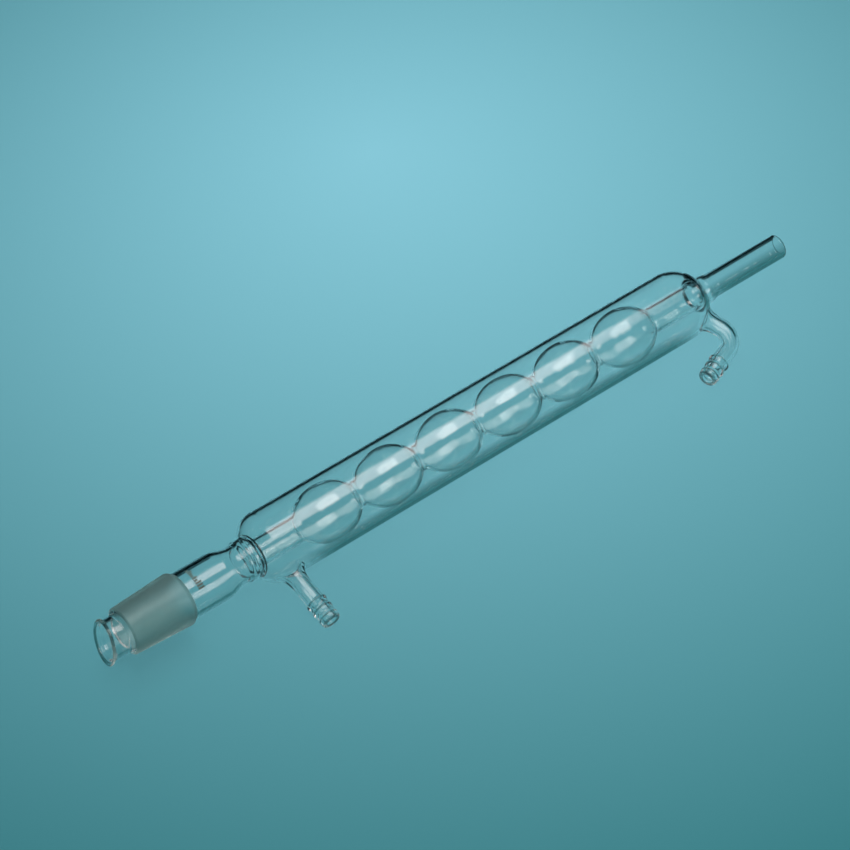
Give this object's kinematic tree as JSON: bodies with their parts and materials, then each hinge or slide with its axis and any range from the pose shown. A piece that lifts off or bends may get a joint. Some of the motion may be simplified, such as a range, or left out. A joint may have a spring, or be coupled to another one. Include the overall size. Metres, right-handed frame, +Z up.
{
  "type": "allihn condenser",
  "caption": "Clear glass reflux condenser: a bulbed inner tube fused into a water jacket, with two barbed hose arms, a ground cone with drip tip, and a plain vapour outlet.",
  "frame": {"origin": "on the surface the condenser lies on, under the middle of its bounding box", "axes": "+X along the glass from the drip tip to the vapour outlet, +Z up, both hose arms towards -Y and 16 degrees below level, so that the jacket and the tip of the inlet arm touch the surface"},
  "size_m": [0.3674, 0.0586, 0.032],
  "materials": {
    "clear_glass": "clear fire-polished borosilicate glass",
    "ground_glass": "finely ground, translucent grey-white glass"
  },
  "bodies": {
    "root": {"drip_tip": "clear_glass", "ground_cone": "ground_glass", "cone_neck": "clear_glass", "lower_ring_seal": "clear_glass", "lower_inner_stem": "clear_glass", "bulb_1": "clear_glass", "bulb_2": "clear_glass", "bulb_3": "clear_glass", "bulb_4": "clear_glass", "bulb_5": "clear_glass", "bulb_6": "clear_glass", "upper_inner_stem": "clear_glass", "upper_ring_seal": "clear_glass", "vapour_outlet_tube": "clear_glass", "jacket_lower_shoulder": "clear_glass", "jacket_tube": "clear_glass", "jacket_upper_shoulder": "clear_glass", "water_inlet_arm": "clear_glass", "water_inlet_hose_end": "clear_glass", "water_outlet_arm": "clear_glass", "water_outlet_hose_end": "clear_glass"}
  },
  "joints": []
}
